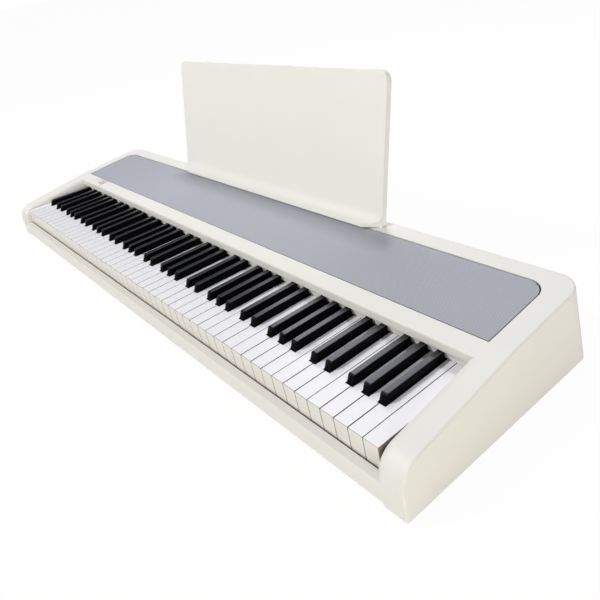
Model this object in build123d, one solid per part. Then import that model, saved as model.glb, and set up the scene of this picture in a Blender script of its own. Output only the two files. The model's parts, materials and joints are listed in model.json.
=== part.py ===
from build123d import *
import math
import os

# A slab digital piano: a white moulded case with 88 keys, a speaker grille and a lift-off music rest.
# X runs along the keyboard to the right, Y from the player to the rear, Z up from the floor.
# While modelling, y is measured from the front of the case; the parts are centred when they are written.

# Driving dimensions, in millimetres and degrees
CASE_WIDTH = 1312.0
CASE_DEPTH = 336.0
CASE_BOTTOM = 8.0
WALL = 3.0
SIDE_DRAFT = 2.25
REAR_DRAFT = 0.4
CORNER_RADIUS = 38.0
CORNER_FOOT_RADIUS = 14.0
EDGE_RADIUS = 3.0
NOSE_RADIUS = 35.0
DECK_BREAK = (186.0, 102.2)
FRONT_SLOPE = 9.1
DECK_SLOPE = 6.0

WHITE_COUNT = 52
KEY_COUNT = 88
KEY_PITCH = 23.5
KEY_GAP = 1.0
KEY_FRONT = 14.4
KEY_TOP = 70.4
KEY_BODY_BOTTOM = 52.0
KEY_SKIRT_BOTTOM = 33.0
KEY_SKIRT = 8.0
KEY_TAIL = 232.0
KEY_EDGE = 0.6
BLACK_FRONT = 63.3
BLACK_REAR = 163.4
BLACK_RISE = 11.8
BLACK_BASE_WIDTH = 11.0
BLACK_TOP_WIDTH = 9.4
BLACK_STICK_WIDTH = 9.6
BLACK_SLOPE = 6.0
BLACK_SLOT = 13.4
BLACK_EDGE = 0.7
BLACK_FOOT = 2.0
PIVOT_Y = 222.0
PIVOT_Z = 58.0
PIVOT_RADIUS = 3.0
PIVOT_PLAY = 0.4
WELL_HALF_WIDTH = 612.0
WELL_REAR = 165.0
LIP_RADIUS = 6.0
CHEEK_RADIUS = 14.0
KEY_CLEARANCE = 1.6

RAIL_TOP = 39.6
RAIL_BOTTOM = 12.0
RAIL_REAR = 13.0
RAIL_EDGE = 1.0
PLATE_TOP = 15.0
PLATE_GAP = 0.4
BED_GAP = 0.4

FRAME_TOP = 17.5
STOP_RIB = (70.0, 92.0)
STOP_RIB_TOP = 39.0
SHELF = (108.0, 162.0)
SHELF_TOP = 36.0
FELT = 5.0
RUBBER_HALF = 9.0
RUBBER_HEIGHT = 5.0
MIDDLE_OCTAVE = 4
MAIN_BOARD = (-330.0, -140.0, 250.0, 318.0)
MAIN_BOARD_BOTTOM = 21.0
JACK_BOARD = (-76.0, 76.0, 290.0, 327.0)

GRILLE_HALF_WIDTH = 620.0
GRILLE_LENGTH = 122.0
GRILLE_RADIUS = 26.0
GRILLE_THICKNESS = 1.2
GRILLE_RECESS = 3.0
GRILLE_GAP = 2.0
SHEET_RADIUS = 25.0
GASKET = 1.0
GASKET_GAP = 0.4
GASKET_WIDTH = 10.0
SPEAKER_X = 430.0
SPEAKER_ALONG = 72.0
SPEAKER_OPENING = 37.0
SPEAKER_FLANGE = 43.0
SPEAKER_BASKET = 22.0
SPEAKER_DEPTH = 38.0

REST_LEAN = 13.6
REST_HALF_WIDTH = 320.0
REST_FRONT = 315.2
REST_LEVEL = 119.0
REST_TOP = 344.5
REST_DEPTH = 10.0
REST_SKIN = 3.5
REST_CORNER = 17.0
REST_EDGE = 1.5
REST_RIB_X = 106.0
REST_BAY_BOTTOM = 26.0
REST_COVE = 20.0
LEDGE_FRONT = 298.0
LEDGE_TOP = 122.0
LEDGE_THICKNESS = 4.5
LEDGE_HALF_WIDTH = 288.0
SEAT_GAP = 0.1
TAB_X = (-230.0, 0.0, 230.0)
TAB_WIDTH = 60.0
TAB_THICKNESS = 4.0
TAB_LENGTH = 15.0
TAB_ROOT = 4.0
TAB_PLAY = 0.6

POWER_X = -556.0
KNOB_X = -507.0
CONTROL_ALONG = -12.0
CONTROL_POST_X = (-584.0, -480.0)
CONTROL_BOARD = -18.0
BOARD_THICKNESS = 1.6
BUTTON_RADIUS = 5.0
SHAFT_RADIUS = 3.0
CONTROL_PLAY = 0.4
BUTTON_RISE = 1.6
BUTTON_TRAVEL = 1.2
BUTTON_EDGE = 0.5
KNOB_RADIUS = 7.0
KNOB_HEIGHT = 8.0
KNOB_EDGE = 0.8
KNOB_GROOVE = 1.2

FOOT_RADIUS = 12.0
FOOT_EDGE = 1.5
FOOT_SIDES = 20
FOOT_X = (-560.0, 0.0, 560.0)
FOOT_Y = (46.0, 296.0)
INSERT_X = 520.0
INSERT_Y = (81.0, 266.0)
INSERT_RADIUS = 4.5
INSERT_BORE = 2.5
INSERT_LENGTH = 11.0
SCREW_X = (-600.0, -200.0, 200.0, 600.0)
SCREW_Y = 328.5
CHEEK_SCREW_X = 647.5
CHEEK_SCREW_Y = (50.0, 150.0)
SCREW_RADIUS = 1.5
SCREW_HEAD = 3.5
SCREW_HEAD_HEIGHT = 2.0
SCREW_BITE = 10.0
BOSS_RADIUS = 5.0
BOSS_TOP = 40.0

JACK_Z = 36.0
JACK_PANEL = (150.0, 30.0)
JACK_BOARD_BOTTOM = 26.4
JACK_BOARD_TOP = JACK_BOARD_BOTTOM + BOARD_THICKNESS
JACK_DEPTH = 24.0
JACK_BORE_DEPTH = 20.0
PANEL_FRONT = 327.4
PANEL_THICKNESS = 2.5
PANEL_PLAY = 1.0
JACK_COLLAR = 2.75
# Each round socket: x, bore radius and half the body's width
ROUND_JACKS = ((52.0, 3.3, 9.0), (24.0, 1.85, 6.0), (2.0, 1.85, 6.0))
DC_X = -56.0
DC_BORE = 3.0
DC_PIN = 1.0
DC_DEPTH = 10.0
USB_X = -28.0
USB_SIZE = (8.6, 8.0)
USB_ROOM = 2.5
SOCKET_HALF = 6.5

HALF_WIDTH = CASE_WIDTH / 2
LEAN = math.radians(REST_LEAN)
FRONT_TAN = math.tan(math.radians(FRONT_SLOPE))
DECK_TAN = math.tan(math.radians(DECK_SLOPE))
DRAFT_TAN = math.tan(math.radians(SIDE_DRAFT))
REAR_TAN = math.tan(math.radians(REAR_DRAFT))
FAR = 60.0
# Sides of the bars that stand for round ones where they are hidden or small
HEX = 6
SMALL_SIDES = 12
ROUND_SIDES = 16


def deck_z(y):
    """Height of the deck's top surface, ahead of or behind its slight break."""
    slope = FRONT_TAN if y < DECK_BREAK[0] else DECK_TAN
    return DECK_BREAK[1] + slope * (y - DECK_BREAK[0])


def block(x0, x1, y0, y1, z0, z1):
    """A plain block between two corners."""
    middle = ((x0 + x1) / 2, (y0 + y1) / 2, (z0 + z1) / 2)
    return Pos(*middle) * Box(x1 - x0, y1 - y0, z1 - z0)


def section(*points):
    """A closed side-view outline from (y, z) points."""
    return Plane.YZ * make_face(Polyline(*points, close=True))


def along_x(face, half_length):
    """A side-view outline drawn out along the keyboard, both ways from the middle."""
    return extrude(face, half_length, both=True)


def rod(x, y, z0, z1, radius):
    """An upright round bar."""
    return Pos(x, y, (z0 + z1) / 2) * Cylinder(radius, z1 - z0)


def prism(x, y, z0, z1, radius, sides):
    """An upright many-sided bar, for what is hidden or small."""
    return extrude(Pos(x, y, z0) * RegularPolygon(radius, sides), z1 - z0)


# The surfaces that the deck's fittings stand on
DECK_PLANE = Plane(
    origin=(0, DECK_BREAK[0], DECK_BREAK[1]),
    x_dir=(1, 0, 0),
    z_dir=(0, -math.sin(math.radians(DECK_SLOPE)), math.cos(math.radians(DECK_SLOPE))),
)
STRIP_PLANE = Plane(
    origin=(0, DECK_BREAK[0], DECK_BREAK[1]),
    x_dir=(1, 0, 0),
    z_dir=(0, -math.sin(math.radians(FRONT_SLOPE)), math.cos(math.radians(FRONT_SLOPE))),
)
STRIP_AXIS = Axis((0, 0, 0), tuple(STRIP_PLANE.z_dir))
REST_FRAME = Pos(0, REST_FRONT, REST_LEVEL) * Rot(-REST_LEAN, 0, 0)


def case_plan(height, corner, inset):
    """The case's plan at a height over its bottom: the walls lean in, and the rear corners round."""
    half = HALF_WIDTH - height * DRAFT_TAN - inset
    rear = CASE_DEPTH - height * REAR_TAN - inset
    plan = make_face(Polyline((-half, -FAR), (half, -FAR), (half, rear), (-half, rear), close=True))
    plan = fillet(plan.vertices().group_by(Axis.Y)[-1], corner - inset)
    return Pos(0, 0, CASE_BOTTOM + height) * plan


def case_form(inset):
    """The case's outside, or the same form drawn in by a wall: a drafted plan under a wedge-shaped top."""
    reach = CASE_DEPTH + FAR
    front = inset
    nose_z = deck_z(0) - inset
    top = make_face(
        Polyline(
            (front, CASE_BOTTOM),
            (front + (nose_z - CASE_BOTTOM) * DRAFT_TAN, nose_z),
            (DECK_BREAK[0], DECK_BREAK[1] - inset),
            (reach, deck_z(reach) - inset),
            (reach, CASE_BOTTOM),
            close=True,
        )
    )
    nose = top.vertices().sort_by(Axis.X)[1]
    top = fillet(nose, NOSE_RADIUS - inset)
    wedge = along_x(Plane.YZ * top, HALF_WIDTH + FAR)
    height = 2 * CASE_BOTTOM + deck_z(CASE_DEPTH)
    foot = case_plan(0, CORNER_FOOT_RADIUS, inset)
    drafted = loft([foot, case_plan(height, CORNER_RADIUS, inset)], ruled=True)
    return wedge & drafted


def cheek(form, side, inset):
    """One end of the case beside the keys, its inner edge rounded over the top and down the front."""
    inner = side * (WELL_HALF_WIDTH + inset)
    outer = side * (HALF_WIDTH + FAR)
    end = form & block(min(inner, outer), max(inner, outer), -FAR, WELL_REAR + inset, 0, 2 * FAR)
    edges = [e for e in end.edges() if abs(e.center().X - inner) < 0.1]
    edges = [e for e in edges if e.center().Y < WELL_REAR - WALL and e.center().Z > CASE_BOTTOM + WALL]
    return fillet(edges, CHEEK_RADIUS - inset)


def rounded_case():
    """The case's outside with its rim rounded: the deck behind the key well and a cheek at each end."""
    form = case_form(0)
    crown = deck_z(CASE_DEPTH) - 2 * WALL
    beside = WELL_HALF_WIDTH + 10 * WALL
    rim = [
        e
        for e in form.edges()
        if e.center().Z > crown
        or (abs(e.center().X) > beside and e.center().Y < WELL_REAR * 1.6 and e.center().Z > 2 * CASE_BOTTOM)
    ]
    form = fillet(rim, EDGE_RADIUS)
    reach = HALF_WIDTH + FAR
    deck = form & block(-reach, reach, WELL_REAR, CASE_DEPTH + FAR, 0, 2 * FAR)
    case = deck + cheek(form, -1, 0) + cheek(form, 1, 0)
    lip = [e for e in case.edges() if on_lip(e)]
    return fillet(lip, LIP_RADIUS)


def on_lip(edge):
    """Whether an edge is the deck's front edge, over the rear wall of the key well."""
    middle = edge.center()
    return abs(middle.X) < WALL and abs(middle.Y - WELL_REAR) < 0.1 and middle.Z > KEY_TOP


def grille_outline(gap, radius):
    """The grille's outline on the deck, drawn in by a gap: square at the front, rounded at the rear."""
    half = GRILLE_HALF_WIDTH - gap
    rear = GRILLE_LENGTH - gap
    face = make_face(Polyline((-half, gap), (half, gap), (half, rear), (-half, rear), close=True))
    return fillet(face.vertices().group_by(Axis.Y)[-1], radius)


def on_deck(face, low, high):
    """A deck-plane outline drawn out between two heights over the deck."""
    return extrude(DECK_PLANE * Pos(0, 0, low) * face, high - low)


def tab_block(x, play):
    """One of the music rest's tabs, or its slot with some play."""
    half = TAB_WIDTH / 2 + play
    low, high = REST_DEPTH / 2 - play, REST_DEPTH / 2 + TAB_THICKNESS + play
    return REST_FRAME * block(x - half, x + half, low, high, -TAB_LENGTH - play, TAB_ROOT)


def control_rod(x, low, high, radius):
    """A round bar square to the control strip, between two heights over it."""
    return STRIP_PLANE * Pos(x, CONTROL_ALONG, (low + high) / 2) * Cylinder(radius, high - low)


def screw_places():
    """Where the case screws stand: along the rear wall and inside each cheek."""
    rear = [(x, SCREW_Y) for x in SCREW_X]
    return rear + [(side * CHEEK_SCREW_X, y) for side in (-1, 1) for y in CHEEK_SCREW_Y]


def front_rail():
    """The rail in front of the keys: a channel on the bottom plate, flush with the front of both cheeks."""
    foot = (RAIL_BOTTOM - CASE_BOTTOM) * DRAFT_TAN
    crest = (RAIL_TOP - CASE_BOTTOM) * DRAFT_TAN
    face = make_face(
        Polyline(
            (foot, RAIL_BOTTOM),
            (crest, RAIL_TOP),
            (RAIL_REAR, RAIL_TOP),
            (RAIL_REAR, PLATE_TOP),
            (RAIL_REAR - WALL, PLATE_TOP),
            (RAIL_REAR - WALL, RAIL_TOP - WALL),
            (crest + WALL, RAIL_TOP - WALL),
            (foot + WALL, RAIL_BOTTOM),
            close=True,
        )
    )
    edge = face.vertices().group_by(Axis.Y)[-1].sort_by(Axis.X)[0]
    return along_x(Plane.YZ * fillet(edge, RAIL_EDGE), WELL_HALF_WIDTH + CHEEK_RADIUS)


def case_hollow():
    """The space inside the deck and the cheeks, one wall in from the outside, under the grille's recess."""
    form = case_form(WALL)
    reach = HALF_WIDTH + FAR
    hollow = form & block(-reach, reach, WELL_REAR + WALL, CASE_DEPTH + FAR, 0, 2 * FAR)
    hollow += cheek(form, -1, WALL) + cheek(form, 1, WALL)
    return hollow - on_deck(grille_outline(-WALL, GRILLE_RADIUS + WALL), -GRILLE_RECESS - WALL, FAR)


def top_case():
    """Deck, cheeks and front rail in one hollow moulding, with the grille's recess and the rest's slots."""
    case = rounded_case() - case_hollow()
    case -= on_deck(grille_outline(0, GRILLE_RADIUS), -GRILLE_RECESS, FAR)
    inner = WELL_HALF_WIDTH + CHEEK_RADIUS
    case -= block(-inner, inner, 2 * WALL, WELL_REAR + 2 * WALL, 0, PLATE_TOP)
    bed_top = KEY_TOP + KEY_CLEARANCE
    case -= block(-WELL_HALF_WIDTH, WELL_HALF_WIDTH, RAIL_REAR, WELL_REAR + 2 * WALL, 0, bed_top)
    case += front_rail()
    for side in (-1, 1):
        opening = prism(side * SPEAKER_X, SPEAKER_ALONG, -FAR / 2, 0, SPEAKER_OPENING, ROUND_SIDES)
        case -= DECK_PLANE * opening
    for x in TAB_X:
        case -= tab_block(x, TAB_PLAY)
    case -= control_rod(POWER_X, -FAR / 4, FAR, BUTTON_RADIUS + CONTROL_PLAY)
    case -= control_rod(KNOB_X, -FAR / 4, FAR, SHAFT_RADIUS + CONTROL_PLAY)
    jack_x, jack_z = JACK_PANEL[0] / 2, JACK_PANEL[1] / 2
    case -= block(-jack_x, jack_x, CASE_DEPTH - 4 * WALL, CASE_DEPTH + FAR, JACK_Z - jack_z, JACK_Z + jack_z)
    for x in CONTROL_POST_X:
        post = Box(2 * WALL, 2 * WALL, -CONTROL_BOARD - WALL)
        case += STRIP_PLANE * Pos(x, CONTROL_ALONG, (CONTROL_BOARD - WALL) / 2) * post
    for x, y in screw_places():
        case += prism(x, y, PLATE_TOP, BOSS_TOP, BOSS_RADIUS, 8)
        case -= prism(x, y, 0, BOSS_TOP - WALL, SCREW_RADIUS, HEX)
    return case


def bottom_case():
    """The bottom plate with its stand bosses and board posts."""
    inset = WALL + PLATE_GAP
    front = 2 * WALL + PLATE_GAP
    plate = case_form(inset) & block(-HALF_WIDTH, HALF_WIDTH, front, CASE_DEPTH, RAIL_BOTTOM, PLATE_TOP)
    for x, y in insert_places():
        plate += prism(x, y, PLATE_TOP, RAIL_BOTTOM + INSERT_LENGTH, INSERT_RADIUS + WALL, SMALL_SIDES)
        plate -= prism(x, y, 0, FAR, INSERT_RADIUS, HEX)
    for x, y in screw_places():
        plate -= prism(x, y, 0, FAR, SCREW_RADIUS, HEX)
    for x, y in board_posts(MAIN_BOARD):
        plate += prism(x, y, PLATE_TOP, MAIN_BOARD_BOTTOM, WALL, HEX)
    for x, y in board_posts(JACK_BOARD):
        plate += prism(x, y, PLATE_TOP, JACK_BOARD_BOTTOM, WALL, HEX)
    return plate


def insert_places():
    """The four stand inserts, at the corners of a rectangle."""
    return [(side * INSERT_X, y) for side in (-1, 1) for y in INSERT_Y]


def board_posts(board):
    """The four posts under a board given as (x0, x1, y0, y1)."""
    x0, x1, y0, y1 = board
    return [(x, y) for x in (x0 + 2 * WALL, x1 - 2 * WALL) for y in (y0 + 2 * WALL, y1 - 2 * WALL)]


def speaker_grille():
    """The perforated metal plate that lies in the deck's recess."""
    low = GASKET - GRILLE_RECESS
    return on_deck(grille_outline(GRILLE_GAP, SHEET_RADIUS), low, low + GRILLE_THICKNESS)


def grille_gasket():
    """A dark foam ring under the edge of the grille, seen as a line round it."""
    inner = GASKET_GAP + GASKET_WIDTH
    ring = grille_outline(GASKET_GAP, GRILLE_RADIUS - GASKET_GAP)
    ring -= grille_outline(inner, GRILLE_RADIUS - inner)
    return on_deck(ring, -GRILLE_RECESS, GASKET - GRILLE_RECESS)


def cup(wide, narrow, top, bottom):
    """A many-sided cup with flat faces that narrows downwards."""
    form = prism(0, 0, bottom, top, wide, ROUND_SIDES)
    base = form.faces().sort_by(Axis.Z)[0]
    return chamfer(base.edges(), wide - narrow, top - bottom - WALL / 4, reference=base)


def speaker(side):
    """A speaker hung under the recess: a flange, a basket that narrows to the magnet, a hollow cone."""
    magnet = SPEAKER_FLANGE / 2
    body = prism(0, 0, -WALL, 0, SPEAKER_FLANGE, ROUND_SIDES)
    body += cup(SPEAKER_OPENING, magnet, -WALL, -SPEAKER_BASKET)
    body += prism(0, 0, -SPEAKER_DEPTH, -SPEAKER_BASKET, magnet, ROUND_SIDES)
    body -= cup(SPEAKER_OPENING - WALL, magnet / 2, 0, 2 * WALL - SPEAKER_BASKET)
    return DECK_PLANE * Pos(side * SPEAKER_X, SPEAKER_ALONG, -GRILLE_RECESS - WALL) * body


def strip_block(y0, y1, z0, z1):
    """A strip that runs the keyboard's whole width."""
    half = WELL_HALF_WIDTH - BED_GAP
    return block(-half, half, y0, y1, z0, z1)


def key_frame():
    """The keybed: a plate with a stop rib, a board shelf and the pivot rib."""
    base = strip_block(KEY_FRONT, KEY_TAIL + 2 * WALL, PLATE_TOP, FRAME_TOP)
    rib_low, rib_high = STOP_RIB
    frame = base + strip_block(rib_low, rib_low + WALL, FRAME_TOP, STOP_RIB_TOP)
    frame += strip_block(rib_high - WALL, rib_high, FRAME_TOP, STOP_RIB_TOP)
    frame += strip_block(rib_low, rib_high, STOP_RIB_TOP - WALL, STOP_RIB_TOP)
    shelf_low, shelf_high = SHELF
    frame += strip_block(shelf_low, shelf_low + WALL, FRAME_TOP, SHELF_TOP)
    frame += strip_block(shelf_high - WALL, shelf_high, FRAME_TOP, SHELF_TOP)
    frame += strip_block(PIVOT_Y - WALL / 2, PIVOT_Y + WALL / 2, FRAME_TOP, PIVOT_Z - PIVOT_RADIUS)
    for x, y in insert_places():
        frame -= prism(x, y, RAIL_BOTTOM, FRAME_TOP, INSERT_RADIUS + WALL + PLATE_GAP, SMALL_SIDES)
    return frame


def pivot_rail():
    """The steel rod that every key rocks on."""
    half = WELL_HALF_WIDTH - BED_GAP
    return Pos(0, PIVOT_Y, PIVOT_Z) * Rot(0, 90, 0) * Cylinder(PIVOT_RADIUS, 2 * half)


def stop_felts():
    """Felt strips that end the keys' stroke."""
    front = strip_block(KEY_FRONT, KEY_FRONT + KEY_SKIRT, FRAME_TOP, FRAME_TOP + FELT)
    return [front, strip_block(*STOP_RIB, STOP_RIB_TOP, STOP_RIB_TOP + FELT)]


def contact_board():
    """The long circuit board under the keys."""
    return strip_block(*SHELF, SHELF_TOP, SHELF_TOP + BOARD_THICKNESS)


def contact_rubber():
    """The rubber strip whose domes close the key contacts."""
    middle = (SHELF[0] + SHELF[1]) / 2
    top = SHELF_TOP + BOARD_THICKNESS
    return strip_block(middle - RUBBER_HALF, middle + RUBBER_HALF, top, top + RUBBER_HEIGHT)


def board(outline, bottom):
    """A flat circuit board given as (x0, x1, y0, y1)."""
    return block(*outline, bottom, bottom + BOARD_THICKNESS)


def control_board():
    """The small board behind the power button and the volume knob."""
    x0, x1 = CONTROL_POST_X
    length = x1 - x0 + 4 * WALL
    middle = Pos((x0 + x1) / 2, CONTROL_ALONG + 1, CONTROL_BOARD - BOARD_THICKNESS / 2)
    return STRIP_PLANE * middle * Box(length, 4 * WALL, BOARD_THICKNESS)


def power_button():
    """A round push button with a flange that stops it under the deck, and a stem to its switch."""
    button = control_rod(POWER_X, -2 * WALL, BUTTON_RISE, BUTTON_RADIUS)
    button = chamfer(button.edges().sort_by(STRIP_AXIS)[-1], BUTTON_EDGE)
    under = Pos(POWER_X, CONTROL_ALONG, 0)
    stem_foot = CONTROL_BOARD + BUTTON_TRAVEL + CONTROL_PLAY
    flange = prism(0, 0, -2 * WALL, -WALL - CONTROL_PLAY, BUTTON_RADIUS + 2 * CONTROL_PLAY, SMALL_SIDES)
    stem = prism(0, 0, stem_foot, -2 * WALL, BUTTON_RADIUS / 2, HEX)
    return button + STRIP_PLANE * under * (flange + stem)


def volume_knob():
    """A rotary knob with a pointer groove, on a shaft down to the control board."""
    cap = control_rod(KNOB_X, CONTROL_PLAY, KNOB_HEIGHT, KNOB_RADIUS)
    cap = chamfer(cap.edges().sort_by(STRIP_AXIS)[-1], KNOB_EDGE)
    groove = Box(KNOB_GROOVE, KNOB_RADIUS, KNOB_GROOVE)
    groove = Pos(KNOB_X, CONTROL_ALONG + KNOB_RADIUS / 2, KNOB_HEIGHT) * groove
    shaft = prism(KNOB_X, CONTROL_ALONG, CONTROL_BOARD, CONTROL_PLAY, SHAFT_RADIUS, SMALL_SIDES)
    return cap - STRIP_PLANE * groove + STRIP_PLANE * shaft


def rear_hole(x, radius, sides):
    """A many-sided bar along Y through the jack panel."""
    face = Pos(x, 0, JACK_Z) * (Plane.XZ * RegularPolygon(radius, sides))
    return Pos(0, PANEL_FRONT, 0) * extrude(face, FAR, both=True)


def jack_panel():
    """The recessed plate behind the rear wall's cut-out, pierced for each socket."""
    half_x, half_z = JACK_PANEL[0] / 2 + WALL, JACK_PANEL[1] / 2 + WALL
    rear = PANEL_FRONT + PANEL_THICKNESS
    panel = block(-half_x, half_x, PANEL_FRONT, rear, JACK_Z - half_z, JACK_Z + half_z)
    for x, bore, _ in ROUND_JACKS:
        panel -= rear_hole(x, bore + JACK_COLLAR, ROUND_SIDES)
    panel -= rear_hole(DC_X, DC_BORE + JACK_COLLAR, ROUND_SIDES)
    width, height = USB_SIZE
    return panel - Pos(USB_X, PANEL_FRONT, JACK_Z) * Box(width + PANEL_PLAY, FAR, height + PANEL_PLAY)


def socket_body(x, half):
    """A socket's square body, standing on the jack board against the panel."""
    top = 2 * JACK_Z - JACK_BOARD_TOP
    return block(x - half, x + half, PANEL_FRONT - JACK_DEPTH, PANEL_FRONT, JACK_BOARD_TOP, top)


def rear_bore(x, radius, depth):
    """A round bore from the panel's face into a socket."""
    return Pos(x, PANEL_FRONT - depth / 2, JACK_Z) * Rot(90, 0, 0) * Cylinder(radius, depth)


def jack_sockets():
    """The damper pedal, headphone and audio input sockets."""
    return [socket_body(x, half) - rear_bore(x, bore, JACK_BORE_DEPTH) for x, bore, half in ROUND_JACKS]


def dc_inlet():
    """The power adapter's inlet, a bore with a centre pin."""
    inlet = socket_body(DC_X, SOCKET_HALF) - rear_bore(DC_X, DC_BORE, DC_DEPTH)
    pin = rear_hole(DC_X, DC_PIN, HEX) & socket_body(DC_X, SOCKET_HALF)
    return inlet + pin


def usb_socket():
    """The square computer socket with its tongue."""
    width, height = USB_SIZE
    mouth = Pos(USB_X, PANEL_FRONT - DC_DEPTH / 2, JACK_Z)
    tongue = Box(width - 2 * USB_ROOM, DC_DEPTH, height - 2 * USB_ROOM)
    return socket_body(USB_X, SOCKET_HALF) - mouth * Box(width, DC_DEPTH, height) + mouth * tongue


def rubber_feet():
    """Six round feet under the bottom plate."""
    feet = []
    for x in FOOT_X:
        for y in FOOT_Y:
            foot = prism(x, y, 0, RAIL_BOTTOM, FOOT_RADIUS, FOOT_SIDES)
            feet.append(chamfer(foot.edges().group_by(Axis.Z)[0], FOOT_EDGE))
    return feet


def stand_inserts():
    """Threaded six-sided brass bushes for a stand's screws."""
    bush = prism(0, 0, 0, INSERT_LENGTH, INSERT_RADIUS, HEX) - rod(0, 0, 0, INSERT_LENGTH, INSERT_BORE)
    return [Pos(x, y, RAIL_BOTTOM) * bush for x, y in insert_places()]


def case_screws():
    """The screws that hold the bottom plate to the top case."""
    shank = (RAIL_BOTTOM, PLATE_TOP + SCREW_BITE, SCREW_RADIUS, HEX)
    head = (RAIL_BOTTOM - SCREW_HEAD_HEIGHT, RAIL_BOTTOM, SCREW_HEAD, SMALL_SIDES)
    return [prism(x, y, *shank) + prism(x, y, *head) for x, y in screw_places()]


def rest_front(z):
    """Where the music rest's front face is at a height."""
    return REST_FRONT + (z - REST_LEVEL) * math.tan(LEAN)


def rest_plate():
    """The leaning plate: a rounded front edge, a back hollow between ribs, and a foot on the deck."""
    height = (REST_TOP - REST_LEVEL) / math.cos(LEAN)
    outline = Pos(0, (height - FAR) / 2) * Rectangle(2 * REST_HALF_WIDTH, height + FAR)
    outline = fillet(outline.vertices().group_by(Axis.Y)[-1], REST_CORNER)
    plate = extrude(Plane.XZ * outline, -REST_DEPTH)
    rim = plate.faces().sort_by(Axis.Y)[0].edges()
    plate = fillet([e for e in rim if e.center().Z > -FAR / 2], REST_EDGE)
    for low, high in rest_bays():
        tall = height - REST_SKIN - REST_BAY_BOTTOM
        bay = chamfer(Rectangle(high - low, tall).vertices(), REST_CORNER / 2)
        middle = Pos((low + high) / 2, REST_SKIN, REST_BAY_BOTTOM + tall / 2)
        plate -= middle * extrude(Plane.XZ * bay, -REST_DEPTH)
    return REST_FRAME * plate - on_deck(Rectangle(CASE_WIDTH, CASE_DEPTH * 2), -FAR, SEAT_GAP)


def rest_ledge():
    """The ledge that holds the music: a lip in front, a cove up to the plate, and slanted ends."""
    rear = REST_SKIN / 2
    profile = make_face(
        Polyline(
            (LEDGE_FRONT, LEDGE_TOP),
            (LEDGE_FRONT, LEDGE_TOP - LEDGE_THICKNESS),
            (rest_front(LEDGE_TOP - LEDGE_THICKNESS) + rear, LEDGE_TOP - LEDGE_THICKNESS),
            (rest_front(LEDGE_TOP + REST_COVE) + rear, LEDGE_TOP + REST_COVE),
            (rest_front(LEDGE_TOP + REST_COVE), LEDGE_TOP + REST_COVE),
            (rest_front(LEDGE_TOP), LEDGE_TOP),
            close=True,
        )
    )
    inner = [v for v in profile.vertices() if abs(v.Y - LEDGE_TOP) < 0.1 and v.X > LEDGE_FRONT + 1]
    profile = fillet(inner, REST_COVE)
    lip = [v for v in profile.vertices() if abs(v.X - LEDGE_FRONT) < 0.1]
    profile = fillet(lip, LEDGE_THICKNESS / 3)
    ledge = along_x(Plane.YZ * profile, REST_HALF_WIDTH - REST_EDGE)
    return ledge - ledge_end(1) - ledge_end(-1)


def music_rest():
    """The lift-off music rest: plate, ledge and the tabs that stand in the deck's slots."""
    rest = rest_plate() + rest_ledge()
    for x in TAB_X:
        rest += tab_block(x, 0)
    return rest


def rest_bays():
    """The hollows between the ribs at the back of the music rest."""
    edge = REST_HALF_WIDTH - REST_SKIN
    half_rib = REST_SKIN / 2
    return (
        (-edge, -REST_RIB_X - half_rib),
        (-REST_RIB_X + half_rib, REST_RIB_X - half_rib),
        (REST_RIB_X + half_rib, edge),
    )


def ledge_end(side):
    """What the slanted end of the ledge leaves out: it flares from the lip to the plate's full width."""
    depth = rest_front(LEDGE_TOP) - LEDGE_FRONT
    flare = REST_HALF_WIDTH - REST_EDGE - LEDGE_HALF_WIDTH
    outline = make_face(
        Polyline(
            (side * (LEDGE_HALF_WIDTH - flare), LEDGE_FRONT - depth),
            (side * (LEDGE_HALF_WIDTH + 2 * flare), LEDGE_FRONT + 2 * depth),
            (side * (LEDGE_HALF_WIDTH + 2 * flare), LEDGE_FRONT - depth),
            close=True,
        )
    )
    return extrude(Pos(0, 0, PLATE_TOP) * outline, LEDGE_TOP + REST_COVE)


# Keys are counted from 0 at the lowest A; these are the twelve notes from A upwards
NOTES = ("a", "a_sharp", "b", "c", "c_sharp", "d", "d_sharp", "e", "f", "f_sharp", "g", "g_sharp")
WHITE_STEPS = {"c": 0, "d": 1, "e": 2, "f": 3, "g": 4, "a": 5, "b": 6}
# For each black key: where its group of white keys starts, how many it has, and the key's place in the group
BLACK_PLACES = {
    "c_sharp": (0, 3, 1.5),
    "d_sharp": (0, 3, 3.5),
    "f_sharp": (3, 4, 1.5),
    "g_sharp": (3, 4, 3.5),
    "a_sharp": (3, 4, 5.5),
}


def note(n):
    """A key's note name."""
    return NOTES[n % len(NOTES)]


def octave(n):
    """A key's octave number, which changes at each C."""
    return (n + 9) // len(NOTES)


def octave_left(n):
    """The left edge of the C that begins a key's octave."""
    return KEY_PITCH * (7 * octave(n) - 5 - WHITE_COUNT / 2)


def black_centre(n):
    """The middle of a black key: in each group the white tails and black slots share the width evenly."""
    start, whites, place = BLACK_PLACES[note(n)]
    return octave_left(n) + KEY_PITCH * (start + place * whites / (2 * whites - 1))


def is_black(n):
    """Whether a key on the keyboard is a black one."""
    return 0 <= n < KEY_COUNT and note(n) in BLACK_PLACES


def pivot_slot(x0, x1):
    """The notch under a key's tail that sits over the pivot rod."""
    half = PIVOT_RADIUS + PIVOT_PLAY
    return block(x0 - 1, x1 + 1, PIVOT_Y - half, PIVOT_Y + half, 0, PIVOT_Z + half)


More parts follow.
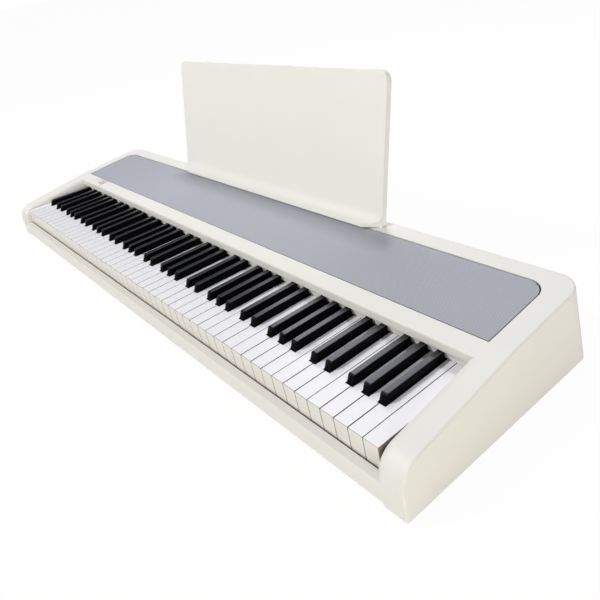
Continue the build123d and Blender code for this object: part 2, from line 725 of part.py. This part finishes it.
def white_key(n):
    """A white key: a full-width head with a front skirt, and a tail that clears its black neighbours."""
    left = octave_left(n) + KEY_PITCH * WHITE_STEPS[note(n)] + KEY_GAP / 2
    right = left + KEY_PITCH - KEY_GAP
    shoulder = BLACK_FRONT - (BLACK_SLOT - BLACK_BASE_WIDTH) / 2
    points = [(left, KEY_FRONT), (right, KEY_FRONT)]
    tail_right = right
    tail_left = left
    if is_black(n + 1):
        tail_right = black_centre(n + 1) - BLACK_SLOT / 2
        points += [(right, shoulder), (tail_right, shoulder)]
    points += [(tail_right, KEY_TAIL)]
    if is_black(n - 1):
        tail_left = black_centre(n - 1) + BLACK_SLOT / 2
    points += [(tail_left, KEY_TAIL)]
    if is_black(n - 1):
        points += [(tail_left, shoulder), (left, shoulder)]
    outline = make_face(Polyline(*points, close=True))
    key = extrude(Pos(0, 0, KEY_BODY_BOTTOM) * outline, KEY_TOP - KEY_BODY_BOTTOM)
    top = [e for e in key.edges().group_by(Axis.Z)[-1] if e.center().Y < shoulder]
    key = chamfer(top, KEY_EDGE)
    key += block(left, right, KEY_FRONT, KEY_FRONT + KEY_SKIRT, KEY_SKIRT_BOTTOM, KEY_BODY_BOTTOM)
    return key - pivot_slot(tail_left, tail_right)


def black_key(n):
    """A black key: a tapered cap with a sloping front, on a stick that runs back to the pivot."""
    x = black_centre(n)
    base, top, edge = BLACK_BASE_WIDTH / 2, BLACK_TOP_WIDTH / 2, BLACK_EDGE
    foot = KEY_TOP - BLACK_FOOT
    crown = KEY_TOP + BLACK_RISE
    outline = make_face(
        Polyline(
            (x - base, foot),
            (x + base, foot),
            (x + top, crown - edge),
            (x + top - edge, crown),
            (x - top + edge, crown),
            (x - top, crown - edge),
            close=True,
        )
    )
    cap = extrude(Pos(0, BLACK_REAR, 0) * (Plane.XZ * outline), BLACK_REAR - BLACK_FRONT)
    slope = section(
        (BLACK_FRONT - 1, foot),
        (BLACK_FRONT, foot + 1),
        (BLACK_FRONT + BLACK_SLOPE * 0.75, crown - 2 * edge),
        (BLACK_FRONT + BLACK_SLOPE, crown - edge / 2),
        (BLACK_FRONT + BLACK_SLOPE * 1.25, crown),
        (BLACK_FRONT - 1, crown + 1),
    )
    cap -= Pos(x, 0, 0) * along_x(slope, BLACK_BASE_WIDTH)
    half = BLACK_STICK_WIDTH / 2
    stick = block(x - half, x + half, BLACK_FRONT + BLACK_FOOT, KEY_TAIL, KEY_BODY_BOTTOM, foot)
    return cap + stick - pivot_slot(x - half, x + half)


def key_nodes():
    """Keys by node: the middle octave one by one, the rest as one node for each note."""
    nodes = {}
    for n in range(KEY_COUNT):
        name = "key_" + note(n) + "_4" if octave(n) == MIDDLE_OCTAVE else "keys_" + note(n)
        nodes.setdefault(name, []).append(black_key(n) if is_black(n) else white_key(n))
    return nodes


parts = {
    "top_case": top_case(),
    "bottom_case": bottom_case(),
    "speaker_grille": speaker_grille(),
    "grille_gasket": grille_gasket(),
    "left_speaker": speaker(-1),
    "right_speaker": speaker(1),
    "key_frame": key_frame(),
    "pivot_rail": pivot_rail(),
    "stop_felts": stop_felts(),
    "contact_board": contact_board(),
    "contact_rubber": contact_rubber(),
    "main_board": board(MAIN_BOARD, MAIN_BOARD_BOTTOM),
    "jack_board": board(JACK_BOARD, JACK_BOARD_BOTTOM),
    "control_board": control_board(),
    "jack_panel": jack_panel(),
    "jack_sockets": jack_sockets(),
    "dc_inlet": dc_inlet(),
    "usb_socket": usb_socket(),
    "rubber_feet": rubber_feet(),
    "stand_inserts": stand_inserts(),
    "case_screws": case_screws(),
    "power_button": power_button(),
    "volume_knob": volume_knob(),
    "music_rest": music_rest(),
    **key_nodes(),
}

# The origin is the middle of the whole outline on the floor
CENTRE_Y = parts["music_rest"].bounding_box().max.Y / 2
os.makedirs("parts", exist_ok=True)
for name, shape in parts.items():
    solids = shape if isinstance(shape, list) else [shape]
    placed = [Pos(0, -CENTRE_Y, 0) * solid for solid in solids]
    export_step(placed[0] if len(placed) == 1 else Compound(children=placed), f"parts/{name}.step")
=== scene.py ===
"""A white slab digital piano with a music rest, dressed for a studio picture."""

import json
import math

import bmesh
import bpy
from mathutils import Matrix, Vector


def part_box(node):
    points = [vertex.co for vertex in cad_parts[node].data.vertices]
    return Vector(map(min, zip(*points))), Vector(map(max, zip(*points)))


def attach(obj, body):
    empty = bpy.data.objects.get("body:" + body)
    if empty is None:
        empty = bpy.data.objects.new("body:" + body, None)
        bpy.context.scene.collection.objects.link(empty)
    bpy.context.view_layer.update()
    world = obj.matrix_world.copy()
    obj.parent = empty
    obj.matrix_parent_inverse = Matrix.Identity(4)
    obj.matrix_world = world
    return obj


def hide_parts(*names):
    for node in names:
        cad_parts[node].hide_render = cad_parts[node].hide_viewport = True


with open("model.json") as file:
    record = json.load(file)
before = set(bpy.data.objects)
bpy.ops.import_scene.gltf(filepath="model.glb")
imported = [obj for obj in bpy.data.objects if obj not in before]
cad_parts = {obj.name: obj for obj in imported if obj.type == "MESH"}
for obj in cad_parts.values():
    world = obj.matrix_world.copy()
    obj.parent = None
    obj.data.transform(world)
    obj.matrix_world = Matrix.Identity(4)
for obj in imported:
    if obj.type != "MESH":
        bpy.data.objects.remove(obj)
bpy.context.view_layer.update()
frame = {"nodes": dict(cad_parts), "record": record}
nodes = frame["nodes"]
slots = {row["node"]: row["material_slot"] for row in frame["record"]["subparts"]}

# Sizes of the piano in metres; NOSE is where the case's front edge is, and depths are counted from it
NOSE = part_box("top_case")[0][1]
KEY_FRONT = 0.0144
KEY_TOP = 0.0704
RAIL_REAR = 0.013
RAIL_TOP = 0.0396
WELL_HALF_WIDTH = 0.612
CHEEK_RADIUS = 0.014
STRIP_SLOPE = math.radians(9.1)
STRIP_REAR = (0.186, 0.1022)
LIP_REAR = 0.171
LIP_FRONT = 0.160
LIP_FOOT = 0.0845
LIP_RADIUS = 0.003
CONTROL_DEPTH = 0.1742
POWER_X, KNOB_X = -0.556, -0.507
KNOB_RADIUS = 0.0073
KNOB_FLUTES = 24
KNOB_HEIGHT = 0.005
KNOB_MIDDLE = 0.0038
KNOB_TAPER = 0.0002
FLUTE_SHARE = 0.03
RING_INNER, RING_OUTER = 0.0055, 0.0067
RING_LOW, RING_HIGH = -0.0002, 0.0004
COLLAR_WALL = 0.0023
FRAME_WALL = 0.0006
JACK_FACE = 0.3274
JACK_REAR = 0.3306
JACK_HEIGHT = 0.036
# Each rear socket: its place across, its bore's radius, the sides of its collar and the collar's slot
SOCKETS = (
    (0.052, 0.0033, 40, "steel"),
    (0.024, 0.00185, 32, "steel"),
    (0.002, 0.00185, 32, "steel"),
    (-0.056, 0.003, 40, "panel_black"),
    (-0.028, 0.0058, 4, "steel"),
)
FOOT_X = (-0.56, 0.0, 0.56)
FOOT_DEPTHS = (0.046, 0.296)
FOOT_TOP = 0.012
FOOT_RADIUS = 0.012
SOLE_DEPTH = 0.0008
# The outline of a foot from its top to the hollow of its sole, as radius and height
FOOT_OUTLINE = (
    (0.0, FOOT_TOP),
    (FOOT_RADIUS, FOOT_TOP),
    (FOOT_RADIUS, 0.0015),
    (FOOT_RADIUS - 0.0005, 0.0004),
    (FOOT_RADIUS - 0.0015, 0.0),
    (FOOT_RADIUS - 0.004, 0.0),
    (FOOT_RADIUS - 0.0048, SOLE_DEPTH),
    (0.0, SOLE_DEPTH),
)
WHITE_EDGE = 0.0007
BLACK_EDGE = 0.0006
FELT_THICKNESS = 0.0006
FELT_BELOW_RAIL = 0.0095
FELT_OVER_RAIL = 0.0012
FELT_EDGE = 0.0002
GRILLE_PITCH_MM = 2.2
GRILLE_HOLE = 0.29


def linear(code):
    """A linear colour with alpha from an sRGB hex code."""
    parts = [int(code[i : i + 2], 16) / 255 for i in (1, 3, 5)]
    return [p / 12.92 if p <= 0.04045 else ((p + 0.055) / 1.055) ** 2.4 for p in parts] + [1.0]


def add(tree, kind, links=(), values=None, **settings):
    """Adds a node with its settings, its input values and its links as (input, node, output)."""
    node = tree.nodes.new(kind)
    for name, value in settings.items():
        setattr(node, name, value)
    for socket, value in (values or {}).items():
        node.inputs[socket].default_value = value
    for socket, source, output in links:
        tree.links.new(source.outputs[output], node.inputs[socket])
    return node


def finish(name, colour, roughness, ior=1.5, metallic=0.0):
    """A material with one principled shader, and that shader to build on."""
    material = bpy.data.materials.new(name)
    material.use_nodes = True
    shader = material.node_tree.nodes["Principled BSDF"]
    shader.inputs["Base Color"].default_value = linear(colour)
    shader.inputs["Roughness"].default_value = roughness
    shader.inputs["IOR"].default_value = ior
    shader.inputs["Metallic"].default_value = metallic
    return material, material.node_tree, shader


def moulded(name, dark, light, roughness, grain_mm, depth_mm):
    """A moulded plastic: a faint cloud of tone over the piece, and the fine grain that the mould leaves."""
    material, tree, shader = finish(name, light, roughness, ior=1.52)
    place = add(tree, "ShaderNodeTexCoord")
    spot = [("Vector", place, "Object")]
    cloud = add(tree, "ShaderNodeTexNoise", spot, {"Scale": 1000 / 110, "Detail": 2.0})
    tone = add(tree, "ShaderNodeMix", [(0, cloud, 0)], {6: linear(dark), 7: linear(light)}, data_type="RGBA")
    tree.links.new(tone.outputs[2], shader.inputs["Base Color"])
    grain = add(tree, "ShaderNodeTexNoise", spot, {"Scale": 1000 / grain_mm, "Detail": 1.0})
    gloss = add(
        tree,
        "ShaderNodeMapRange",
        [("Value", grain, 0)],
        {"To Min": roughness - 0.05, "To Max": roughness + 0.05},
    )
    tree.links.new(gloss.outputs[0], shader.inputs["Roughness"])
    relief = add(
        tree, "ShaderNodeBump", [("Height", grain, 0)], {"Distance": depth_mm / 1000, "Strength": 0.5}
    )
    tree.links.new(relief.outputs["Normal"], shader.inputs["Normal"])
    return material


def keytop(name, tones, roughness, ior, specular, polish):
    """A moulded keytop whose top, edges, front and sides each take a tone by the way they face: painted light and
    shade rather than the plastic's own colours; the top may be polished.
    """
    top, edge, front, side = (linear(code) for code in tones)
    material, tree, shader = finish(name, tones[0], roughness, ior)
    shader.inputs["Specular IOR Level"].default_value = specular
    place = add(tree, "ShaderNodeTexCoord")
    facing = add(tree, "ShaderNodeSeparateXYZ", [(0, place, "Normal")])
    ahead = add(tree, "ShaderNodeMapRange", [("Value", facing, "Y")], {"From Min": -0.4, "From Max": -0.9})
    behind = add(tree, "ShaderNodeMapRange", [("Value", facing, "Y")], {"From Min": -0.3, "From Max": -0.1})
    high = add(tree, "ShaderNodeMapRange", [("Value", facing, "Z")], {"From Min": 0.5, "From Max": 0.75})
    upward = add(tree, "ShaderNodeMath", [(0, high, 0), (1, behind, 0)], operation="MULTIPLY")
    level = add(tree, "ShaderNodeMapRange", [("Value", facing, "Z")], {"From Min": 0.92, "From Max": 0.99})
    if polish:
        rubbed = add(tree, "ShaderNodeMath", [(0, level, 0), (1, behind, 0)], operation="MULTIPLY")
        shine = add(tree, "ShaderNodeMath", [(0, rubbed, 0)], {1: polish}, operation="MULTIPLY")
        tree.links.new(shine.outputs[0], shader.inputs["Coat Weight"])
        shader.inputs["Coat Roughness"].default_value = 0.18
    # Painted light and shade: each face is toned by the way it faces, so lit tops and edges and shaded fronts and
    # sides are painted into the colour
    around = add(tree, "ShaderNodeMix", [(0, ahead, 0)], {6: side, 7: front}, data_type="RGBA")
    crown = add(tree, "ShaderNodeMix", [(0, level, 0)], {6: edge, 7: top}, data_type="RGBA")
    body = add(tree, "ShaderNodeMix", [(0, upward, 0), (6, around, 2), (7, crown, 2)], data_type="RGBA")
    along = add(tree, "ShaderNodeMapping", [("Vector", place, "Object")], {"Scale": (1.0, 0.04, 1.0)})
    lines = add(tree, "ShaderNodeTexNoise", [("Vector", along, 0)], {"Scale": 1000 / 0.8, "Detail": 2.0})
    streak = add(tree, "ShaderNodeMapRange", [("Value", lines, 0)], {"To Min": 0.95, "To Max": 1.0})
    tone = add(
        tree, "ShaderNodeMix", [(6, body, 2), (7, streak, 0)], {0: 1.0}, data_type="RGBA", blend_type="MULTIPLY"
    )
    tree.links.new(tone.outputs[2], shader.inputs["Base Color"])
    gloss = add(
        tree,
        "ShaderNodeMapRange",
        [("Value", lines, 0)],
        {"To Min": roughness - 0.05, "To Max": roughness + 0.05},
    )
    tree.links.new(gloss.outputs[0], shader.inputs["Roughness"])
    return material


def perforated(name, dark, light, hole, roughness):
    """Steel sheet punched with a square grid of round holes, under a dull silver powder coat; the holes are painted
    in a dark tone, a painted shade for the view into them.
    """
    material, tree, shader = finish(name, light, roughness)
    shader.inputs["Specular IOR Level"].default_value = 0.15
    shader.inputs["Sheen Weight"].default_value = 1.0
    shader.inputs["Sheen Roughness"].default_value = 0.35
    shader.inputs["Sheen Tint"].default_value = linear("#DCE2F2")
    place = add(tree, "ShaderNodeTexCoord")
    per_metre = 1000 / GRILLE_PITCH_MM
    cells = add(
        tree,
        "ShaderNodeVectorMath",
        [(0, place, "Object")],
        {1: (per_metre, per_metre, 0.0)},
        operation="MULTIPLY",
    )
    cell = add(tree, "ShaderNodeVectorMath", [(0, cells, 0)], operation="FRACTION")
    middle = add(tree, "ShaderNodeVectorMath", [(0, cell, 0)], {1: (0.5, 0.5, 0.0)}, operation="SUBTRACT")
    reach = add(tree, "ShaderNodeVectorMath", [(0, middle, 0)], operation="LENGTH")
    land = add(
        tree,
        "ShaderNodeMapRange",
        [("Value", reach, "Value")],
        {"From Min": GRILLE_HOLE - 0.03, "From Max": GRILLE_HOLE + 0.03},
    )
    flake = add(tree, "ShaderNodeTexNoise", [("Vector", place, "Object")], {"Scale": 1000 / 1.5, "Detail": 2.0})
    coat = add(tree, "ShaderNodeMix", [(0, flake, 0)], {6: linear(dark), 7: linear(light)}, data_type="RGBA")
    # Painted shade: the holes get a dark tone for the shaded view into them
    tone = add(tree, "ShaderNodeMix", [(0, land, 0), (7, coat, 2)], {6: linear(hole)}, data_type="RGBA")
    tree.links.new(tone.outputs[2], shader.inputs["Base Color"])
    relief = add(tree, "ShaderNodeBump", [("Height", land, 0)], {"Distance": 0.0004, "Strength": 0.4})
    tree.links.new(relief.outputs["Normal"], shader.inputs["Normal"])
    return material


def machined(name, dark, light, roughness, line_mm):
    """A machined metal: fine tool lines across the piece in its tone and gloss."""
    material, tree, shader = finish(name, light, roughness, metallic=1.0)
    place = add(tree, "ShaderNodeTexCoord")
    across = add(tree, "ShaderNodeMapping", [("Vector", place, "Object")], {"Scale": (0.05, 0.05, 0.6)})
    lines = add(tree, "ShaderNodeTexNoise", [("Vector", across, 0)], {"Scale": 1000 / line_mm, "Detail": 2.0})
    tone = add(tree, "ShaderNodeMix", [(0, lines, 0)], {6: linear(dark), 7: linear(light)}, data_type="RGBA")
    tree.links.new(tone.outputs[2], shader.inputs["Base Color"])
    return material


# What each slot of the record is made of, and what that gives the eye
finishes = {
    # ABS from a spark-eroded mould: warm white, satin, with a grain too fine to see from afar
    "case_white": moulded("ivory_abs", "#ECE9E4", "#F0EDE8", 0.55, 0.9, 0.02),
    # The same ABS in a creamier batch, a little smoother
    "rest_cream": moulded("cream_abs", "#F5F4EE", "#F8F7F2", 0.5, 0.9, 0.02),
    # The controls' caps: smooth ABS from a polished mould
    "control_white": moulded("smooth_ivory_abs", "#E9E6DF", "#EDEAE3", 0.35, 0.6, 0.01),
    # High-impact polystyrene, matt and grey, with a coarse grain
    "plate_grey": moulded("grey_polystyrene", "#B9B6B0", "#C4C1BB", 0.6, 1.6, 0.05),
    # Glass-filled nylon, dull grey with a stony cloud
    "frame_grey": moulded("glass_filled_nylon", "#7C766C", "#8A8479", 0.7, 1.2, 0.04),
    # Black ABS for the rear panel and its sockets
    "panel_black": moulded("black_abs", "#121214", "#1A1A1D", 0.42, 0.8, 0.02),
    # Pressed paper cone and painted basket: black, dull, with a fibrous cloud
    "speaker_black": moulded("pressed_paper", "#101010", "#1C1B1A", 0.85, 2.0, 0.1),
    # Nitrile rubber: black, matt, with a pebbled grain
    "rubber_black": moulded("nitrile_rubber", "#161616", "#202020", 0.8, 1.0, 0.08),
    # Open-cell foam under the grille's edge: black, without gloss, full of pores
    "foam_black": moulded("polyurethane_foam", "#0E0E0E", "#1A1A1A", 0.95, 1.5, 0.3),
    # Silicone rubber: soft grey with a dry bloom
    "rubber_grey": moulded("silicone_rubber", "#85858A", "#93939A", 0.6, 1.0, 0.03),
    # Solder mask over a glass-fibre board: green lacquer over a faint weave
    "board_green": moulded("solder_mask", "#10502C", "#1A6338", 0.3, 1.2, 0.03),
    # Pressed wool felt: brownish red, without gloss, with a loose nap
    "felt_red": moulded("wool_felt", "#3E2A24", "#50362D", 0.95, 1.4, 0.3),
    # Acrylic-capped keys with a soft gloss; the cool white of the tops and edges and the warmer, darker fronts are
    # painted light and shade, and the dull brown of the sides is painted shade for the gaps between keys
    "key_white": keytop("polished_keytop", ("#F8F6FA", "#F8F5F4", "#EDE9E3", "#8E8273"), 0.3, 1.49, 0.5, 0.0),
    # Black ABS keys in the mould's dull black, their tops with a soft polish that shows the lights; the tops'
    # lighter blue-grey is a painted reflection and their lighter edges a painted highlight
    "key_black": keytop("satin_black_keytop", ("#1E1F24", "#50515C", "#060608", "#030304"), 0.36, 1.5, 0.05, 0.6),
    # Powder-coated perforated steel: silver blue-grey, its holes painted dark as painted shade
    "grille_silver": perforated("powder_coated_steel", "#BABBC4", "#C4C5CE", "#7C7D86", 0.6),
    # Zinc-plated steel of the screws, the pivot rail and the socket shells
    "steel": machined("zinc_plated_steel", "#9A9B9D", "#B9BABC", 0.35, 0.7),
    # Turned brass bushes
    "brass": machined("turned_brass", "#A9843C", "#C9A455", 0.3, 0.7),
}
for name, node in nodes.items():
    node.data.materials.clear()
    node.data.materials.append(finishes[slots[name]])


def piece(name, shape, slot, body):
    """Makes a finished mesh a piece of the piano that rides on a body."""
    mesh = bpy.data.meshes.new(name)
    shape.to_mesh(mesh)
    shape.free()
    mesh.materials.append(finishes[slot])
    item = bpy.data.objects.new(name, mesh)
    bpy.context.scene.collection.objects.link(item)
    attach(item, body)
    return item


def soften(item, degrees):
    """Smooth shading over the rounded edges, while the flats stay flat."""
    for face in item.data.polygons:
        face.use_smooth = True
    item.data.set_sharp_from_angle(angle=math.radians(degrees))
    flats = item.modifiers.new("flats", "WEIGHTED_NORMAL")
    flats.keep_sharp = True


def eased_keys(name, width, steps, shown):
    """A note's keys with the edges that show rounded, as moulded keytops have them."""
    shape = bmesh.new()
    shape.from_mesh(nodes[name].data)
    bmesh.ops.remove_doubles(shape, verts=shape.verts, dist=1e-5)
    bmesh.ops.dissolve_limit(shape, angle_limit=math.radians(1), verts=shape.verts, edges=shape.edges)
    edges = [e for e in shape.edges if e.is_manifold and e.calc_face_angle() > math.radians(20)]
    edges = [e for e in edges if e.is_convex and all(shown(v.co) for v in e.verts)]
    bmesh.ops.bevel(
        shape, geom=edges, offset=width, affect="EDGES", segments=steps, profile=0.5, material=-1, clamp_overlap=True
    )
    item = piece("eased_" + name, shape, slots[name], name)
    soften(item, 50)
    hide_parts(name)


def on_white_key(point):
    """The top and the front of a white key."""
    return point.z > KEY_TOP - 0.001 or point.y < NOSE + KEY_FRONT + 0.001


def on_black_key(point):
    """What stands over the white keys."""
    return point.z > KEY_TOP


for name in nodes:
    if slots[name] == "key_white":
        eased_keys(name, WHITE_EDGE, 2, on_white_key)
    if slots[name] == "key_black":
        eased_keys(name, BLACK_EDGE, 2, on_black_key)


def bar(low, high, edge):
    """A block between two corners with its edges bevelled."""
    low, high = Vector(low), Vector(high)
    shape = bmesh.new()
    spread = Matrix.Diagonal((*(high - low), 1.0))
    bmesh.ops.create_cube(shape, size=1.0, matrix=Matrix.Translation((low + high) / 2) @ spread)
    bmesh.ops.bevel(
        shape, geom=shape.edges[:], offset=edge, affect="EDGES", segments=1, profile=0.5, material=-1
    )
    return shape


# The felt slip between the front rail and the keys; the strip that stands over the rail is also a painted shade,
# darkening the line under the key fronts where the gap is
low = (-WELL_HALF_WIDTH, NOSE + RAIL_REAR, RAIL_TOP - FELT_BELOW_RAIL)
high = (WELL_HALF_WIDTH, NOSE + RAIL_REAR + FELT_THICKNESS, RAIL_TOP + FELT_OVER_RAIL)
piece("felt_slip_gap_shade", bar(low, high, FELT_EDGE), "felt_red", "case")


def strip_point(depth):
    """A point of the control strip's surface at a depth from the case's front edge, as depth and height."""
    return NOSE + depth, STRIP_REAR[1] - (STRIP_REAR[0] - depth) * math.tan(STRIP_SLOPE)


def strip_lip():
    """The crisp front edge of the control strip, which stands out a little over the rear ends of the keys."""
    half = WELL_HALF_WIDTH + CHEEK_RADIUS
    rear, front = strip_point(LIP_REAR), strip_point(LIP_FRONT)
    outline = [rear, front, (front[0], LIP_FOOT), (rear[0], LIP_FOOT)]
    shape = bmesh.new()
    face = shape.faces.new([shape.verts.new((-half, y, z)) for y, z in outline])
    grown = bmesh.ops.extrude_face_region(shape, geom=[face])
    moved = [v for v in grown["geom"] if isinstance(v, bmesh.types.BMVert)]
    bmesh.ops.translate(shape, verts=moved, vec=(2 * half, 0.0, 0.0))
    bmesh.ops.recalc_face_normals(shape, faces=shape.faces)
    crest = [e for e in shape.edges if all((v.co.yz - Vector(front)).length < 1e-6 for v in e.verts)]
    bmesh.ops.bevel(
        shape, geom=crest, offset=LIP_RADIUS, affect="EDGES", segments=4, profile=0.5, material=-1
    )
    return shape


soften(piece("strip_lip", strip_lip(), "case_white", "case"), 40)


def spun(outline, sides, closed):
    """An outline of (radius, height) points spun round the upright axis."""
    shape = bmesh.new()
    verts = [shape.verts.new((radius, 0.0, height)) for radius, height in outline]
    edges = [shape.edges.new(pair) for pair in zip(verts, verts[1:])]
    if closed:
        edges.append(shape.edges.new((verts[-1], verts[0])))
    bmesh.ops.spin(
        shape, geom=verts + edges, axis=(0, 0, 1), cent=(0, 0, 0), angle=math.tau, steps=sides, use_merge=True
    )
    bmesh.ops.remove_doubles(shape, verts=shape.verts, dist=1e-6)
    bmesh.ops.recalc_face_normals(shape, faces=shape.faces)
    return shape


def collar(inner, outer, low, high, sides):
    """A ring with its outer edge eased."""
    ease = (outer - inner) / 4
    return spun(
        [(inner, low), (outer, low), (outer, high - ease), (outer - ease, high), (inner, high)], sides, True
    )


# The fluted grip of the volume knob, and the ring round the power button, square to the strip
strip_turn = Matrix.Rotation(STRIP_SLOPE, 4, "X")
shape = bmesh.new()
bmesh.ops.create_cone(
    shape,
    cap_ends=True,
    segments=4 * KNOB_FLUTES,
    radius1=KNOB_RADIUS,
    radius2=KNOB_RADIUS - KNOB_TAPER,
    depth=KNOB_HEIGHT,
    matrix=Matrix.Translation((0, 0, KNOB_MIDDLE)),
)
for vert in shape.verts:
    wave = math.cos(KNOB_FLUTES * math.atan2(vert.co.y, vert.co.x))
    vert.co.xy *= 1 - FLUTE_SHARE * (1 - wave)
shape.transform(Matrix.Translation((KNOB_X, *strip_point(CONTROL_DEPTH))) @ strip_turn)
soften(piece("knob_grip", shape, "control_white", "volume_knob"), 25)
shape = collar(RING_INNER, RING_OUTER, RING_LOW, RING_HIGH, 48)
shape.transform(Matrix.Translation((POWER_X, *strip_point(CONTROL_DEPTH))) @ strip_turn)
soften(piece("button_ring", shape, "control_white", "case"), 40)

# The collars of the rear sockets; the computer socket's is a square frame
to_rear = Matrix.Rotation(math.radians(-90), 4, "X")
for count, (x, bore, sides, slot) in enumerate(SOCKETS):
    wall = FRAME_WALL if sides == 4 else COLLAR_WALL
    shape = collar(bore, bore + wall, 0.0, JACK_REAR - JACK_FACE, sides)
    shape.transform(Matrix.Rotation(math.pi / sides, 4, "Z"))
    shape.transform(Matrix.Translation((x, NOSE + JACK_FACE, JACK_HEIGHT)) @ to_rear)
    soften(piece(f"socket_collar_{count}", shape, slot, "case"), 40)

# The feet, with a hollow sole that grips
shape = bmesh.new()
for x in FOOT_X:
    for depth in FOOT_DEPTHS:
        foot = spun(FOOT_OUTLINE, 48, False)
        foot.transform(Matrix.Translation((x, NOSE + depth, 0)))
        mesh = bpy.data.meshes.new("foot")
        foot.to_mesh(mesh)
        foot.free()
        shape.from_mesh(mesh)
        bpy.data.meshes.remove(mesh)
feet = piece("turned_feet", shape, "rubber_black", "case")
soften(feet, 40)
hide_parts("rubber_feet")

# The studio: a pale floor that shows white but keeps the shadow, a white surround, four lamps and a flag
FLOOR_HALF = 60.0
SEEN_SHARE = 0.97


def seen_directly(tree):
    """One for what the camera sees, straight, mirrored or through glass, and zero for the light that it gives."""
    path = add(tree, "ShaderNodeLightPath")
    mirrored = add(
        tree,
        "ShaderNodeMath",
        [(0, path, "Is Camera Ray"), (1, path, "Is Glossy Ray")],
        operation="MAXIMUM",
    )
    return add(tree, "ShaderNodeMath", [(0, mirrored, 0), (1, path, "Is Transmission Ray")], operation="MAXIMUM")


shape = bmesh.new()
bmesh.ops.create_grid(shape, x_segments=1, y_segments=1, size=FLOOR_HALF)
mesh = bpy.data.meshes.new("floor")
shape.to_mesh(mesh)
shape.free()
floor = bpy.data.objects.new("floor", mesh)
bpy.context.scene.collection.objects.link(floor)
paper = bpy.data.materials.new("white_paper")
paper.use_nodes = True
tree = paper.node_tree
tree.nodes.clear()
matt = add(tree, "ShaderNodeBsdfDiffuse", values={"Color": linear("#F4F0E8")})
glow = add(tree, "ShaderNodeEmission", values={"Color": linear("#FFFFFF"), "Strength": 1.0})
share = add(tree, "ShaderNodeMath", [(0, seen_directly(tree), 0)], {1: SEEN_SHARE}, operation="MULTIPLY")
both = add(tree, "ShaderNodeMixShader", [(0, share, 0), (1, matt, 0), (2, glow, 0)])
add(tree, "ShaderNodeOutputMaterial", [("Surface", both, 0)])
mesh.materials.append(paper)

world = bpy.data.worlds.new("surround")
bpy.context.scene.world = world
world.use_nodes = True
tree = world.node_tree
tree.nodes.clear()
light = add(tree, "ShaderNodeBackground", values={"Color": linear("#FCFEFF"), "Strength": 0.12})
white = add(tree, "ShaderNodeBackground", values={"Color": linear("#FFFFFF"), "Strength": 1.0})
both = add(tree, "ShaderNodeMixShader", [(0, seen_directly(tree), 0), (1, light, 0), (2, white, 0)])
add(tree, "ShaderNodeOutputWorld", [("Surface", both, 0)])


def look_from(place, target):
    """The pose of a lamp at a place that faces a target."""
    return Matrix.Translation(place) @ (Vector(target) - Vector(place)).to_track_quat("-Z", "Y").to_matrix().to_4x4()


def lamp(name, place, size, energy, colour):
    """A soft square lamp that faces the piano."""
    light = bpy.data.lights.new(name, "AREA")
    light.size = size
    light.energy = energy
    light.color = linear(colour)[:3]
    item = bpy.data.objects.new(name, light)
    item.matrix_world = look_from(place, (0.0, 0.0, 0.1))
    bpy.context.scene.collection.objects.link(item)


# A black flag behind on the left, unseen by the camera, darkens what the far black keys' tops reflect
FLAG_PLACE = (-2.67, 0.68, 1.03)
FLAG_SIZE = (0.75, 1.8)
FLAG_LEAN = math.radians(40)
shape = bmesh.new()
stretch = Matrix.Rotation(FLAG_LEAN, 4, "Z") @ Matrix.Diagonal((*FLAG_SIZE, 1.0, 1.0))
bmesh.ops.create_grid(
    shape, x_segments=1, y_segments=1, size=0.5, matrix=look_from(FLAG_PLACE, (0.0, 0.0, FLAG_PLACE[2])) @ stretch
)
mesh = bpy.data.meshes.new("flag")
shape.to_mesh(mesh)
shape.free()
flag = bpy.data.objects.new("flag", mesh)
bpy.context.scene.collection.objects.link(flag)
flag.visible_camera = False
cloth, tree, shader = finish("black_cloth", "#050505", 1.0)
shader.inputs["Specular IOR Level"].default_value = 0.0
mesh.materials.append(cloth)

# A small light hangs above and behind, and a soft box behind on the left shows in the near black keys' tops;
# another light stands in front on the left, and a low soft one fills from the right
lamp("overhead", (-0.22, 1.21, 2.8), 0.25, 25.0, "#F8F8FF")
lamp("soft_box", (-1.5, 1.38, 1.95), 1.1, 13.5, "#F4F6FF")
lamp("front_left", (-3.4, -4.6, 5.9), 0.8, 370.0, "#FBFDFB")
lamp("fill", (3.2, -1.2, 0.6), 1.2, 47.0, "#FAF9EF")

# The camera of the photograph: its place, its turn, and a frame set off from the lens axis
YAW, PITCH, ROLL = (math.radians(a) for a in (-53.19053, -28.39798, -10.49340))
forward = Vector((math.sin(YAW) * math.cos(PITCH), math.cos(YAW) * math.cos(PITCH), math.sin(PITCH)))
right = Vector((math.cos(YAW), -math.sin(YAW), 0.0))
up = right.cross(forward)
across = math.cos(ROLL) * right + math.sin(ROLL) * up
above = math.cos(ROLL) * up - math.sin(ROLL) * right
lens = bpy.data.cameras.new("camera")
lens.sensor_width = 36.0
lens.lens = 36.0 * 606.386 / 600
lens.shift_x = (300 - 349.031) / 600
lens.shift_y = (271.704 - 300) / 600
camera = bpy.data.objects.new("camera", lens)
turn = Matrix((across, above, -forward)).transposed().to_4x4()
camera.matrix_world = Matrix.Translation((0.97221, NOSE - 0.25108, 0.51623)) @ turn
bpy.context.scene.collection.objects.link(camera)
bpy.context.scene.camera = camera

bpy.context.scene.view_settings.view_transform = "Standard"
